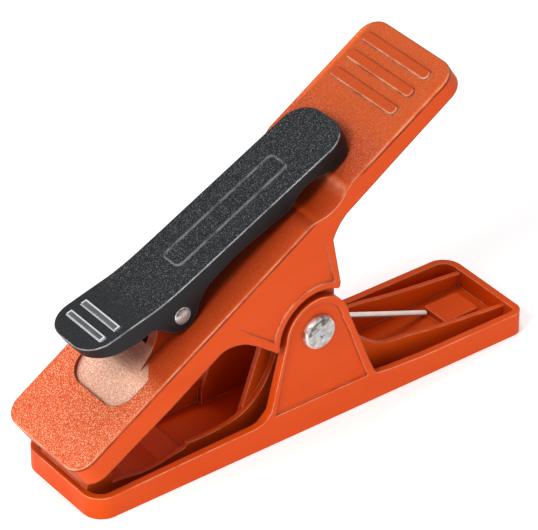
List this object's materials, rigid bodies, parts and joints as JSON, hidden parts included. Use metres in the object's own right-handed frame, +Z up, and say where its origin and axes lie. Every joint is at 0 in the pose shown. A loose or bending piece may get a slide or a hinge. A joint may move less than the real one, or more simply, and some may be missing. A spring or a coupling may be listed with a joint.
{
  "type": "spring clamp with belt clip",
  "caption": "Peg-style spring clamp: long moulded arms hinged on a rivet at mid length, a torsion spring that shuts the jaws, and a sprung belt clip on the back of the upper jaw.",
  "frame": {"origin": "on the lower arm's flat underside, mid width, straight below the main pivot", "axes": "+X along the lower arm from the jaws to the handles, +Y across the width along the pivot, +Z up out of the lower arm"},
  "size_m": [0.131, 0.0326, 0.0832],
  "materials": {
    "arm_plastic": "satin, fine grain on the backs",
    "clip_plastic": "fine grain",
    "sleeve_plastic": "smooth",
    "rivet_steel": "zinc plated",
    "spring_steel": "drawn wire"
  },
  "bodies": {
    "lower": {"lower_arm": "arm_plastic", "pivot_rivet": "rivet_steel", "rivet_washer": "rivet_steel", "coil_sleeve": "sleeve_plastic", "main_spring": "spring_steel"},
    "upper": {"upper_arm": "arm_plastic", "clip_spring": "spring_steel"},
    "clip": {"belt_clip": "clip_plastic", "clip_pin": "rivet_steel"}
  },
  "joints": [
    {"name": "jaw_hinge", "type": "hinge", "parent": "lower", "child": "upper", "pos_m": [0, 0, 0.0269], "axis": [0, 1, 0], "range_deg": [0, 68], "stiffness_Nm_per_rad": 0.35, "springref_deg": -20.05, "deforming": ["main_spring"]},
    {"name": "clip_hinge", "type": "hinge", "parent": "upper", "child": "clip", "pos_m": [-0.0341, 0, 0.04241], "axis": [0, 1, 0], "range_deg": [-20, 0], "stiffness_Nm_per_rad": 0.03, "springref_deg": 20.05, "deforming": ["clip_spring"]}
  ]
}
